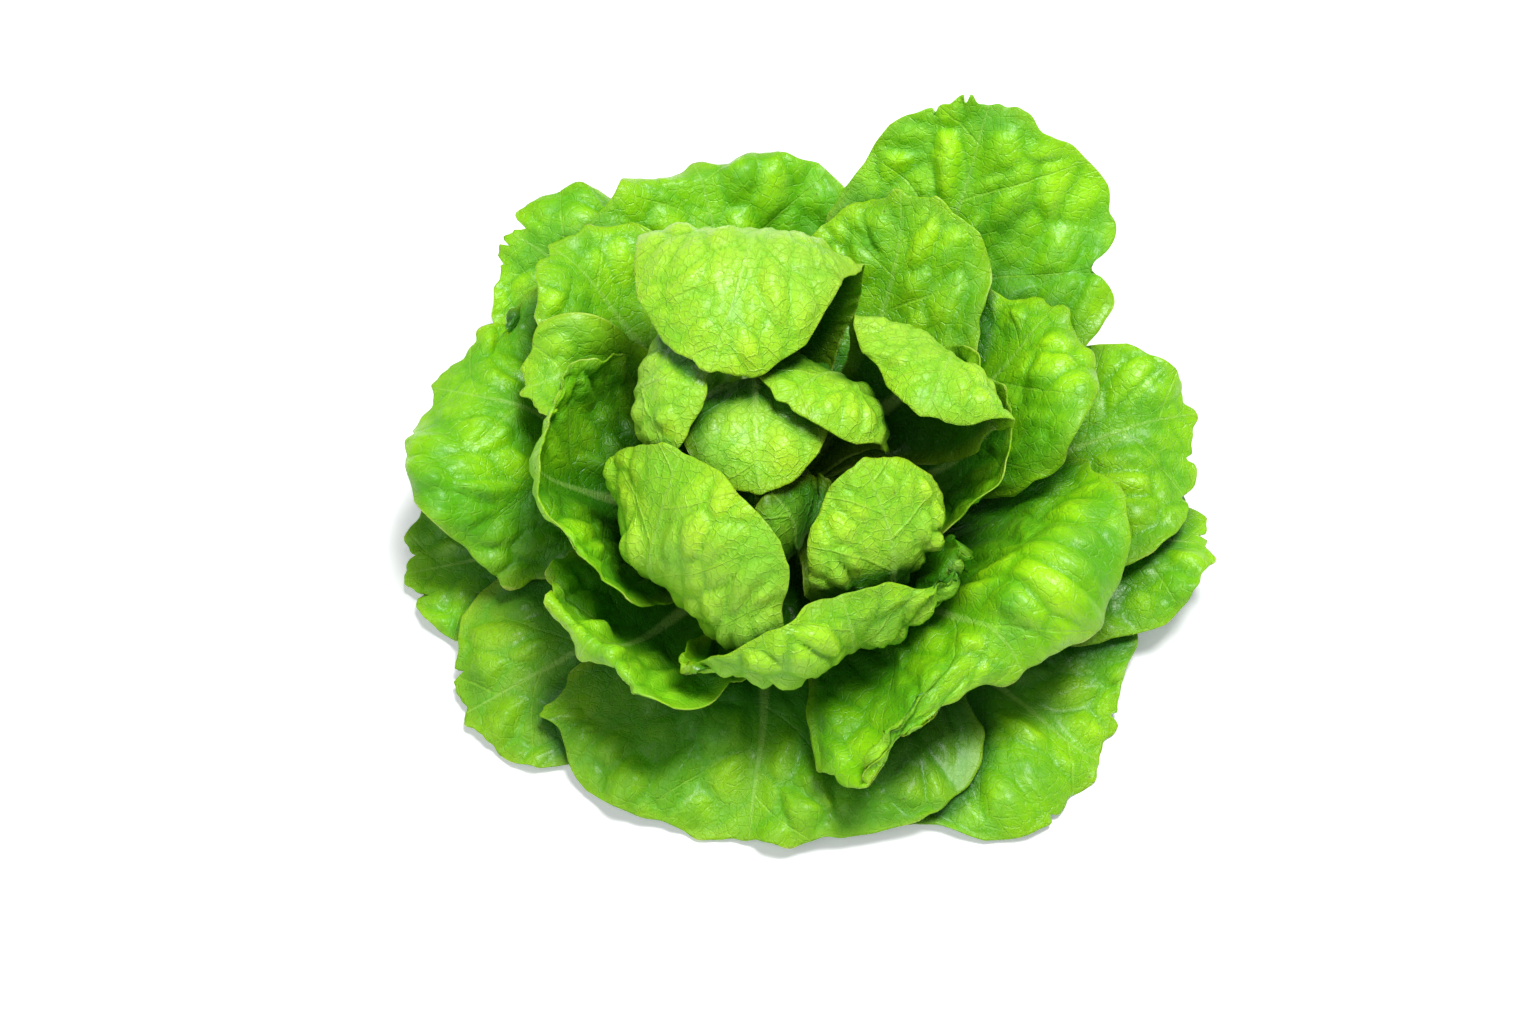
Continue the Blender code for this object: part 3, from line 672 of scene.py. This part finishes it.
def leaf_pattern(leaf, order, t, s, cell):
    """The leaf's veins and blisters, as if it lay flat: values at each point, in millimetres, by name."""
    rng = np.random.default_rng(order + 700)
    share, half, q = share_and_width(leaf, t, s)
    _, _, _, length = rib_line(leaf, order, np.array(0.0))
    across, climb = q * half, share * length
    out = np.abs(across)
    wander = rng.uniform(0, 2 * math.pi, 4)
    sway = VEIN_WANDER * (
        np.sin(across / 17 + wander[0]) * np.sin(climb / 21 + wander[1])
        + 0.4 * np.sin(across / 7 + climb / 11 + wander[2])
    )
    lean = VEIN_LEAN - LEAN_LOST * share
    spacing = 2 * cell
    phase = (climb - lean * out + VEIN_BEND * out**2 + sway) / spacing
    phase = phase + np.where(across > 0, VEIN_STAGGER, 0)
    apart = spacing / np.sqrt(1 + lean**2)
    wall = np.zeros_like(t)
    draw = np.zeros_like(t)
    small = np.zeros_like(t)
    for side in (across > 0, across <= 0):
        x, y = (phase * apart)[side], (out * np.sqrt(1 + lean**2))[side]
        x = x + 0.12 * cell * np.sin(y / cell * 2.3 + wander[3])
        wall[side], draw[side] = nearest_walls(x, y, cell, rng)
        small[side], _ = nearest_walls(x, y, SMALL_SHARE * cell, rng)
    to_vein = (0.5 - np.abs(phase % 1 - 0.5)) * apart
    rib = RIB_HALF * (1 - share) ** RIB_TAPER + RIB_LEAST
    edge = np.minimum((1 - np.abs(s)) * np.abs(q / np.where(s == 0, 1, s)) * half, (1 - t) * length)
    edge = np.where(s == 0, np.minimum(half * 0.8, (1 - t) * length), edge)
    puff = (
        (1 - SMALL_DOME) * dome(wall, 0.5 * cell) * (LOWEST_DOME + (1 - LOWEST_DOME) * draw)
        + SMALL_DOME * dome(small, 0.4 * SMALL_SHARE * cell)
    )
    puff *= 1 - 0.5 * np.exp(-((to_vein / 1.8) ** 2)) * ease(edge / 25)
    puff *= ease((out - rib) / 7) * past_foot(t)
    puff *= LOWEST_DOME + (1 - LOWEST_DOME) * ease(edge / DOME_MARGIN)
    return {
        "across": across, "climb": climb, "share": share, "phase": phase, "wall": wall, "edge": edge,
        "puff": puff, "rib": rib, "to_vein": to_vein, "out": out, "apart": apart,
    }


def billow(pattern, draws):
    """The blade's broad uneven rise and fall, between about -1 and 1."""
    across, climb = pattern["across"], pattern["climb"]
    near = np.sin(across / 9.5 + 0.4 * np.sin(climb / 8) + draws[0]) * np.sin(climb / 10.5 + draws[1])
    broad = np.sin(across / 14 - climb / 17 + draws[2]) * np.sin(climb / 23 + draws[3])
    return BILLOW * (near + 0.7 * broad)


def fine_sheet(leaf, order, cell, height, ripple, look):
    """The leaf's inner and outer surface as grids of points, and its pattern."""
    _, _, _, length = rib_line(leaf, order, np.array(0.0))
    rows = int(length / FINE_STEP) + 2
    columns = int(sum(leaf.half) / FINE_STEP) + 2
    t, s = pull_margin(leaf, order, *blade_grid(rows, columns), look.ripple)
    bend, room, sky = settled_leaves()[order]
    middle = blade(leaf, order, t, s) + read_grid(bend, t, s)
    normal = unit(blur(grid_normals(middle)))
    pattern = leaf_pattern(leaf, order, t, s, cell)
    pattern["sky"] = np.clip(np.moveaxis(read_grid(sky, t, s), -1, 0), 0, 1)
    inner_room, outer_room = np.moveaxis(read_grid(room, t, s), -1, 0)
    above = np.maximum(inner_room / 2 - CLEARANCE, LEAST_ROOM)
    below = np.maximum(outer_room / 2 - CLEARANCE, LEAST_ROOM)
    bulging, hollow = (above, below) if look.bulge > 0 else (below, above)
    rise = np.minimum(bulging, 0.6 * height)
    sink = np.minimum(hollow, height - rise)
    rise = np.minimum(bulging, height - sink)
    edge, share, out = pattern["edge"], pattern["share"], pattern["out"]
    draw = np.random.default_rng(order + 900).uniform(0, 2 * math.pi, 6)
    around = np.arctan2(pattern["across"], pattern["climb"] - 0.3 * length) * length
    frill = np.sin(around / FRILL_WAVES[0] + draw[0])
    frill += FINER_FRILL * np.sin(around / FRILL_WAVES[1] + draw[1])
    frill *= ripple * ease((FRILL_WIDTH - edge) / FRILL_WIDTH) ** 2 * ease(t / 0.5)
    lift = look.bulge * (rise * pattern["puff"] - sink * (1 - pattern["puff"]) * past_foot(t))
    lift += frill + billow(pattern, draw[2:]) * height * ease(t / BILLOW_START)
    room = np.where(lift > 0, above, below)
    lift = room * np.tanh(lift / room)
    thickness = FINE_EDGE + (BLADE_THICKNESS - FINE_EDGE) * ease(edge / EDGE_TAPER)
    thickness += (ROOT_THICKNESS - BLADE_THICKNESS) * (1 - ease(t / ROOT_TAPER))
    ridge = VEIN_RISE * np.exp(-((pattern["to_vein"] / VEIN_HALF) ** 2)) * ease(edge / 30) * ease(out / 6)
    ridge += RIB_RISE * np.exp(-((out / (0.7 * pattern["rib"])) ** 2)) * (1 - share) ** 0.7
    ridge *= np.clip((outer_room - LEAF_GAP) / 3 + 0.15, 0.1, 1) * ease(t / 0.2)
    inner = middle + normal * (lift + thickness / 2)[..., None]
    outer = middle + normal * (lift - thickness / 2 - ridge)[..., None]
    low, high = np.array(CAD_BOX) / MM
    return np.clip(inner, low + 0.3, high - 0.1), np.clip(outer, low + 0.1, high - 0.3), pattern


def place_in_scene(name, data):
    """A new object of the scene."""
    made = bpy.data.objects.new(name, data)
    bpy.context.scene.collection.objects.link(made)
    return made


def sheet_object(name, inner, outer, fields):
    """A closed mesh from a leaf's two surfaces, with each field as a value at each point."""
    rows, columns = inner.shape[:2]
    count = rows * columns
    points = np.concatenate((inner.reshape(-1, 3), outer.reshape(-1, 3))) * MM
    quads = grid_quads(rows, columns)
    index = np.arange(count).reshape(rows, columns)
    border = np.concatenate((index[:, 0], index[-1, 1:], index[-2::-1, -1], index[0, -2::-1]))
    rim = np.stack((border[1:], border[:-1], border[:-1] + count, border[1:] + count), axis=1)
    faces = np.concatenate((quads, quads[:, ::-1] + count, rim))
    mesh = bpy.data.meshes.new(name)
    mesh.from_pydata(points.tolist(), [], faces.tolist())
    for field, (inside, outside) in fields.items():
        values = np.concatenate((np.ravel(inside), np.ravel(outside)))
        mesh.attributes.new(field, "FLOAT", "POINT").data.foreach_set("value", values.astype(np.float32))
    mesh.shade_smooth()
    return place_in_scene(name, mesh)


def make_leaf(order, settings, material, finer, flatter):
    """One fine leaf, in place of the plain one of the frame."""
    leaf = LEAVES[order]
    look = LOOKS.get(leaf.name, LOOKS["plain"])
    cell = settings.blister_size * finer / MM * look.cell
    height = settings.blister_height * flatter / MM * look.puff
    ripple = settings.margin_ripple / MM * look.ripple
    inner, outer, pattern = fine_sheet(leaf, order, cell, height, ripple, look)
    fields = {name: (pattern[name],) * 2 for name in SHARED_FIELDS}
    even = np.ones_like(pattern["edge"])
    fields.update(outer=(0 * even, even), sky=pattern["sky"], tone=(look.tone * even,) * 2)
    made = sheet_object(leaf.name.replace("_leaf", "_blistered_leaf"), inner, outer, fields)
    made.data.materials.append(material)
    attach(made, "root")
    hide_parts(leaf.name)


class ShaderTree:
    """Adds nodes to a material or a group. A value is a number, a colour or another node's output."""

    def __init__(self, owner):
        self.owner = owner
        self.links = owner.links

    def add(self, kind, values=None, **settings):
        """A node, with its values by the socket's name or number."""
        node = self.owner.nodes.new(kind)
        for name, setting in settings.items():
            setattr(node, name, setting)
        for socket, value in (values or {}).items():
            if isinstance(value, bpy.types.NodeSocket):
                self.links.new(value, node.inputs[socket])
            else:
                node.inputs[socket].default_value = value
        return node

    def field(self, name):
        """A leaf's own value at each point."""
        return self.add("ShaderNodeAttribute", attribute_name=name).outputs["Fac"]

    def maths(self, operation, *values):
        """What an operation makes of one or two values."""
        return self.add("ShaderNodeMath", dict(enumerate(values)), operation=operation).outputs[0]

    def plus(self, first, second):
        """The sum of two values."""
        return self.maths("ADD", first, second)

    def times(self, first, second):
        """The product of two values."""
        return self.maths("MULTIPLY", first, second)

    def fade(self, value, start, end, low=0.0, high=1.0):
        """A smooth change from low, where value is start, to high, where it is end."""
        values = {"Value": value, "From Min": start, "From Max": end, "To Min": low, "To Max": high}
        return self.add("ShaderNodeMapRange", values, interpolation_type="SMOOTHSTEP").outputs["Result"]

    def mixed(self, share, first, second):
        """A colour between two."""
        return self.add("ShaderNodeMix", {0: share, 6: first, 7: second}, data_type="RGBA").outputs[2]

    def bump(self, shader, height, strength, distance):
        """Small relief on a shader."""
        relief = self.add("ShaderNodeBump", {"Height": height, "Strength": strength, "Distance": distance})
        self.links.new(relief.outputs["Normal"], shader.inputs["Normal"])


def open_group(name, inputs):
    """A new node group with its inputs' defaults by name: the maker of its nodes, and its input sockets."""
    group = bpy.data.node_groups.new(name, "ShaderNodeTree")
    for socket, default in inputs.items():
        made = group.interface.new_socket(socket, in_out="INPUT", socket_type="NodeSocketFloat")
        made.default_value = default
    return ShaderTree(group), group.nodes.new("NodeGroupInput").outputs


def close_group(tree, results):
    """Puts a group's results out by name, and gives the group."""
    for socket in results:
        tree.owner.interface.new_socket(socket, in_out="OUTPUT", socket_type="NodeSocketFloat")
    outputs = tree.owner.nodes.new("NodeGroupOutput").inputs
    for socket, value in results.items():
        tree.links.new(value, outputs[socket])
    return tree.owner


def vein_group():
    """Where a leaf's midrib, side veins and fine net are, from its own flat coordinates."""
    tree, _ = open_group("leaf veins", {})
    beside = tree.maths("ABSOLUTE", tree.field("across"))
    rib_half = tree.maths("POWER", tree.maths("SUBTRACT", 1.0, tree.field("share")), 1.6)
    rib_half = tree.plus(tree.times(rib_half, RIB_HALF), 0.35)
    rib = tree.fade(tree.maths("DIVIDE", beside, rib_half), 1.25, 0.35)
    off = tree.maths("SUBTRACT", tree.maths("FRACT", tree.field("phase")), 0.5)
    off = tree.maths("SUBTRACT", 0.5, tree.maths("ABSOLUTE", off))
    distance = tree.times(off, tree.field("apart"))
    thinner = tree.fade(tree.field("edge"), 0.0, 20.0, -0.15, 0.0)
    width = tree.plus(tree.fade(beside, 0.0, 45.0, 0.75, 0.25), thinner)
    veins = tree.fade(tree.maths("DIVIDE", distance, width), 1.0, 0.1)
    walls = tree.fade(tree.field("wall"), 0.5, 0.0, high=0.4)
    place = tree.add("ShaderNodeCombineXYZ", {"X": tree.field("across"), "Y": tree.field("climb")}).outputs[0]
    bent = tree.add("ShaderNodeTexNoise", {"Vector": place, "Scale": 0.35, "Detail": 1.0}).outputs["Color"]
    bent = tree.add("ShaderNodeVectorMath", {0: bent, 1: (1.6, 1.6, 0.0)}, operation="MULTIPLY").outputs[0]
    bent = tree.add("ShaderNodeVectorMath", {0: bent, 1: place}, operation="ADD").outputs[0]

    def net_of(scale, width, strength):
        cells = tree.add(
            "ShaderNodeTexVoronoi", {"Vector": bent, "Scale": scale},
            voronoi_dimensions="2D", feature="DISTANCE_TO_EDGE",
        )
        return tree.fade(cells.outputs["Distance"], width, 0.0, high=strength)

    net = tree.plus(net_of(0.3, 0.1, 0.65), net_of(0.75, 0.12, 0.25))
    return close_group(tree, {"Rib": rib, "Veins": tree.maths("MAXIMUM", veins, walls), "Net": net})


def tissue_group():
    """Leaf tissue's uneven colour: broad patches, small dark specks and a crinkled grain."""
    tree, sockets = open_group("leaf tissue", LEAF_TISSUE)
    place = tree.add("ShaderNodeCombineXYZ", {
        "X": tree.field("across"), "Y": tree.field("climb"), "Z": tree.times(tree.field("tone"), 50.0),
    }).outputs[0]

    def noise(scale, detail, roughness, distortion=0.0):
        values = {"Vector": place, "Scale": scale, "Detail": detail, "Roughness": roughness}
        return tree.add("ShaderNodeTexNoise", {**values, "Distortion": distortion}).outputs["Fac"]

    patches = tree.fade(noise(tree.maths("DIVIDE", 1.0, sockets["Patch Size"]), 4.0, 0.6), 0.36, 0.66)
    dots = tree.add("ShaderNodeTexVoronoi", {"Vector": place, "Scale": 0.16}, voronoi_dimensions="3D").outputs
    few = tree.fade(tree.add("ShaderNodeSeparateColor", {0: dots["Color"]}).outputs[0], 0.72, 0.8)
    specks = tree.times(tree.times(tree.fade(dots["Distance"], 0.09, 0.035), few), sockets["Speck Amount"])
    grain = tree.plus(tree.times(noise(0.2, 3.0, 0.6, 0.6), 7.0), noise(1.1, 4.0, 0.65))
    return close_group(tree, {"Patches": patches, "Specks": specks, "Grain": grain})


@cache
def shared_groups():
    """The node groups that every leaf's finish uses."""
    return vein_group(), tissue_group()


def new_material(name, body):
    """A material, its shader with the plain values of its body, and the maker of its tree."""
    material = bpy.data.materials.new(name)
    material.use_nodes = True
    shader = material.node_tree.nodes["Principled BSDF"]
    for socket, value in body.items():
        shader.inputs[socket].default_value = value
    return material, shader, ShaderTree(material.node_tree)


def leaf_finish(name, light, deep, under):
    """Living leaf: light and deep green in patches, a paler underside, pale veins, a thin yellowed margin,
    and painted shade in its creases, its blisters' valleys, its foot and where it sees little sky.
    """
    material, shader, tree = new_material(name, LEAF_BODY)
    veins, tissue = shared_groups()
    vein = tree.add("ShaderNodeGroup", node_tree=veins).outputs
    skin = tree.add("ShaderNodeGroup", LEAF_TISSUE, node_tree=tissue).outputs
    outer, edge, share, tone = [tree.field(each) for each in ("outer", "edge", "share", "tone")]
    underside = tree.times(outer, tree.fade(share, 0.95, 0.6, low=0.15))
    lines = tree.plus(tree.times(vein["Veins"], 0.4), tree.times(vein["Net"], 0.3))
    # Painted shade in the creases along the blisters' walls, fading out towards the margin.
    crease_shade = tree.times(tree.fade(tree.field("wall"), 1.6, 0.1), tree.fade(edge, 1.0, 8.0))
    # What is laid over the tissue, in order: how much of it shows, and its colour.
    coats = (
        # Deeper green in the valleys between blisters: partly the tissue's own colour, partly painted shade.
        (tree.fade(tree.field("puff"), 0.6, 0.0, high=0.5), deep),
        (tree.fade(tone, 0.0, 1.0, high=0.8), OLIVE),
        (tree.fade(tone, 0.0, -1.0, high=0.7), VEIN_PALE),
        # Painted shade: darker towards the leaf's foot, down in the hollows of the head.
        (tree.fade(share, 0.85, 0.3, high=0.45), PAINTED_SHADE_GREEN),
        (tree.fade(share, 0.25, 0.05, high=0.8), VEIN_PALE),
        (tree.times(underside, tree.fade(tone, 0.2, -0.4, low=0.2, high=0.8)), under),
        (tree.times(lines, tree.fade(outer, 0.0, 1.0, low=0.6, high=1.1)), VEIN_PALE),
        # Painted shade laid in the creases.
        (tree.times(crease_shade, 0.5), deep),
        # Painted shade where a point sees little of the sky.
        (tree.fade(tree.field("sky"), 0.85, 0.28, high=0.95), PAINTED_SHADE_GREEN),
        (tree.times(vein["Rib"], tree.fade(share, 0.0, 0.6, low=0.9, high=0.25)), RIB_CREAM),
        (tree.fade(edge, 9.0, 0.0, high=0.3), MARGIN_YELLOW),
        (tree.fade(edge, 1.3, 0.2, high=0.6), MARGIN_PALE),
        (skin["Specks"], SPECK_BROWN),
    )
    base = tree.mixed(skin["Patches"], light, deep)
    for amount, colour in coats:
        base = tree.mixed(amount, base, colour)
    tree.links.new(base, shader.inputs["Base Color"])
    rough = tree.plus(tree.fade(skin["Patches"], 0.2, 0.9, low=0.3, high=0.46), tree.times(outer, 0.04))
    rough = tree.plus(rough, tree.fade(tone, 0.0, 0.6, high=0.16))
    tree.links.new(rough, shader.inputs["Roughness"])
    net = tree.times(vein["Net"], tree.fade(outer, 0.0, 1.0, low=-0.6, high=0.9))
    ridges = tree.times(vein["Veins"], tree.fade(outer, 0.0, 1.0, low=-0.5, high=0.9))
    height = tree.plus(tree.plus(tree.times(skin["Grain"], 0.35), net), ridges)
    tree.bump(shader, height, strength=0.8, distance=0.0005)
    return material


def stem_finish():
    """A cut stump: cream-green sides, and on the cut a ring of vessels browned by its dried sap."""
    material, shader, tree = new_material("cut stem", STEM_BODY)
    place = tree.add("ShaderNodeTexCoord").outputs["Object"]
    x, y, z = tree.add("ShaderNodeSeparateXYZ", {0: place}).outputs
    from_axis = tree.maths("SQRT", tree.plus(tree.times(x, x), tree.times(y, y)))
    noise = tree.add("ShaderNodeTexNoise", {"Vector": place, "Scale": 260.0, "Detail": 5.0}).outputs["Fac"]
    wobble = tree.plus(from_axis, tree.times(noise, 0.002))
    ring = tree.times(tree.fade(wobble, 0.0085, 0.0105), tree.fade(wobble, 0.0135, 0.0115))
    on_cut = tree.fade(z, 0.0016, 0.0002)
    colour = tree.mixed(on_cut, tree.mixed(noise, *STEM_SIDES), tree.mixed(ring, *STEM_CUT))
    tree.links.new(colour, shader.inputs["Base Color"])
    tree.links.new(tree.fade(noise, 0.3, 0.7, low=0.4, high=0.65), shader.inputs["Roughness"])
    tree.bump(shader, noise, strength=0.5, distance=0.0006)
    return material


def add_stem():
    """The stump, turned finely, with a rounded cut edge and the scars of trimmed leaves round it."""
    heights = np.linspace(0, 1, STEM_ROWS)
    radii = np.interp(heights, [z for _, z in STEM_PROFILE], [r for r, _ in STEM_PROFILE])
    radii *= 1 - CUT_ROUNDING * (1 - ease(heights / CUT_EDGE))
    turns = np.linspace(0, 2 * math.pi, STEM_FINE_SIDES, endpoint=False)
    scars = np.sin(SCARS_AROUND * turns[None, :] + SCAR_TWIST * heights[:, None])
    scars = 1 - STEM_SCAR * (0.5 + 0.5 * scars) ** 3
    points = [
        (reach * math.cos(turn), reach * math.sin(turn), STEM_HEIGHT * MM * z)
        for z, row in zip(heights, STEM_RADIUS * MM * radii[:, None] * scars)
        for turn, reach in zip(turns, row)
    ]
    points += [(0, 0, 0), (0, 0, STEM_HEIGHT * MM)]
    around = STEM_FINE_SIDES
    following = [(k + 1) % around for k in range(around)]
    faces = [
        (row + k, row + after, row + around + after, row + around + k)
        for row in range(0, (STEM_ROWS - 1) * around, around)
        for k, after in enumerate(following)
    ]
    top = (STEM_ROWS - 1) * around
    faces += [(len(points) - 2, after, k) for k, after in enumerate(following)]
    faces += [(len(points) - 1, top + k, top + after) for k, after in enumerate(following)]
    mesh = bpy.data.meshes.new("cut_stem")
    mesh.from_pydata(points, [], faces)
    mesh.shade_smooth()
    made = place_in_scene("cut_stem", mesh)
    made.data.materials.append(stem_finish())
    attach(made, "root")
    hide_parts("stem")


def add_leaves(settings, layer, orders, finer=1.0, flatter=1.0):
    """The fine leaves of one layer of the head, in its finish, with blisters finer and flatter by shares."""
    light = getattr(settings, layer + "_green")
    deep = [channel * share for channel, share in zip(light, DEEPENING[layer])]
    greens = [(*green, 1.0) for green in (light, deep, settings.underside_green)]
    finish = leaf_finish(layer + " leaf", *greens)
    for order in orders:
        make_leaf(order, settings, finish, finer, flatter)


class LettuceSettings(bpy.types.PropertyGroup):
    """Sizes and colours of the lettuce."""

    blister_size: FloatProperty(
        name="Blister size", description="Width of a wrapper leaf's blisters", default=0.0168,
        min=0.004, unit="LENGTH",
    )
    blister_height: FloatProperty(
        name="Blister height", description="How far a blister stands out", default=0.0054,
        min=0.0, unit="LENGTH",
    )
    margin_ripple: FloatProperty(
        name="Margin ripple", description="How far the margin's small ripples stand out", default=0.0013,
        min=0.0, unit="LENGTH",
    )
    heart_green: FloatVectorProperty(
        name="Heart green", description="Light colour of the heart's leaves", default=(0.5, 0.93, 0.02),
        subtype="COLOR", min=0, max=1,
    )
    middle_green: FloatVectorProperty(
        name="Middle green", description="Light colour of the leaves round the heart",
        default=(0.42, 0.88, 0.01), subtype="COLOR", min=0, max=1,
    )
    wrapper_green: FloatVectorProperty(
        name="Wrapper green", description="Light colour of the outer leaves", default=(0.42, 0.87, 0.008),
        subtype="COLOR", min=0, max=1,
    )
    underside_green: FloatVectorProperty(
        name="Underside green", description="Colour of the leaves' undersides", default=(0.48, 0.88, 0.07),
        subtype="COLOR", min=0, max=1,
    )
    light_strength: FloatProperty(
        name="Light strength", description="Power of the lamp overhead", default=67.0,
        min=0.0, unit="POWER",
    )


class LETTUCE_OT_stem(bpy.types.Operator):
    """Add the cut stem"""

    bl_idname = "lettuce.stem"
    bl_label = "Stem"

    def execute(self, context):
        add_stem()
        return {"FINISHED"}


class LETTUCE_OT_heart_leaves(bpy.types.Operator):
    """Add the folded leaves of the heart with its collar and hood"""

    bl_idname = "lettuce.heart_leaves"
    bl_label = "Heart leaves"

    def execute(self, context):
        add_leaves(context.scene.lettuce, "heart", range(HEART_COUNT), finer=0.75, flatter=0.8)
        return {"FINISHED"}


class LETTUCE_OT_middle_leaves(bpy.types.Operator):
    """Add the cupped leaves between heart and wrappers"""

    bl_idname = "lettuce.middle_leaves"
    bl_label = "Middle leaves"

    def execute(self, context):
        orders = range(HEART_COUNT, HEART_COUNT + MIDDLE_COUNT)
        add_leaves(context.scene.lettuce, "middle", orders, finer=0.88, flatter=0.95)
        return {"FINISHED"}


class LETTUCE_OT_wrapper_leaves(bpy.types.Operator):
    """Add the large outer leaves"""

    bl_idname = "lettuce.wrapper_leaves"
    bl_label = "Wrapper leaves"

    def execute(self, context):
        add_leaves(context.scene.lettuce, "wrapper", range(HEART_COUNT + MIDDLE_COUNT, len(LEAVES)))
        return {"FINISHED"}


def add_floor():
    """A pale matt table top."""
    mesh = bpy.data.meshes.new("table_top")
    corners = [(x * FLOOR_HALF, y * FLOOR_HALF, 0) for x, y in ((-1, -1), (1, -1), (1, 1), (-1, 1))]
    mesh.from_pydata(corners, [], [(0, 1, 2, 3)])
    floor = place_in_scene("table_top", mesh)
    material, _, _ = new_material("pale table", TABLE_BODY)
    mesh.materials.append(material)


def aim(thing, place, target):
    """Puts a camera or lamp at a place, facing a target."""
    thing.location = place
    thing.rotation_euler = (Vector(target) - Vector(place)).to_track_quat("-Z", "Y").to_euler()


def add_lamp(name, place, size, power):
    """A soft square lamp over the head."""
    light = bpy.data.lights.new(name, "AREA")
    light.size = size
    light.energy = power
    aim(place_in_scene(name, light), place, VIEW_TARGET)


class LETTUCE_OT_studio(bpy.types.Operator):
    """Add the table, the lamps, the white surround and the camera"""

    bl_idname = "lettuce.studio"
    bl_label = "Studio"

    def execute(self, context):
        scene = context.scene
        add_floor()
        for name, place, size, share in LAMPS:
            add_lamp(name, place, size, share * scene.lettuce.light_strength)
        world = bpy.data.worlds.new("white surround")
        world.use_nodes = True
        world.node_tree.nodes["Background"].inputs["Color"].default_value = (1, 1, 1, 1)
        world.node_tree.nodes["Background"].inputs["Strength"].default_value = SURROUND
        scene.world = world
        lens = bpy.data.cameras.new("camera")
        lens.lens = LENS_MM
        lens.sensor_width = SENSOR_MM
        camera = place_in_scene("camera", lens)
        steep = math.radians(VIEW_ELEVATION)
        back = Vector((0, -math.cos(steep), math.sin(steep)))
        aim(camera, Vector(VIEW_TARGET) + back * VIEW_DISTANCE, VIEW_TARGET)
        scene.camera = camera
        scene.view_settings.view_transform = "Standard"
        scene.view_settings.look = "None"
        return {"FINISHED"}


class LETTUCE_PT_parts(bpy.types.Panel):
    """Sizes, colours and parts of the lettuce"""

    bl_idname = "LETTUCE_PT_parts"
    bl_label = "Lettuce"
    bl_space_type = "VIEW_3D"
    bl_region_type = "UI"
    bl_category = "Lettuce"

    def draw(self, context):
        column = self.layout.column()
        for name in LettuceSettings.__annotations__:
            column.prop(context.scene.lettuce, name)
        for operator in OPERATORS:
            column.operator(operator.bl_idname)


OPERATORS = (
    LETTUCE_OT_stem,
    LETTUCE_OT_heart_leaves,
    LETTUCE_OT_middle_leaves,
    LETTUCE_OT_wrapper_leaves,
    LETTUCE_OT_studio,
)
CLASSES = (LettuceSettings, *OPERATORS, LETTUCE_PT_parts)


def register():
    for each in CLASSES:
        bpy.utils.register_class(each)
    bpy.types.Scene.lettuce = PointerProperty(type=LettuceSettings)


def unregister():
    del bpy.types.Scene.lettuce
    for each in reversed(CLASSES):
        bpy.utils.unregister_class(each)


def main():
    register()
    bpy.ops.lettuce.stem()
    bpy.ops.lettuce.heart_leaves()
    bpy.ops.lettuce.middle_leaves()
    bpy.ops.lettuce.wrapper_leaves()
    bpy.ops.lettuce.studio()


if __name__ == "__main__":
    main()
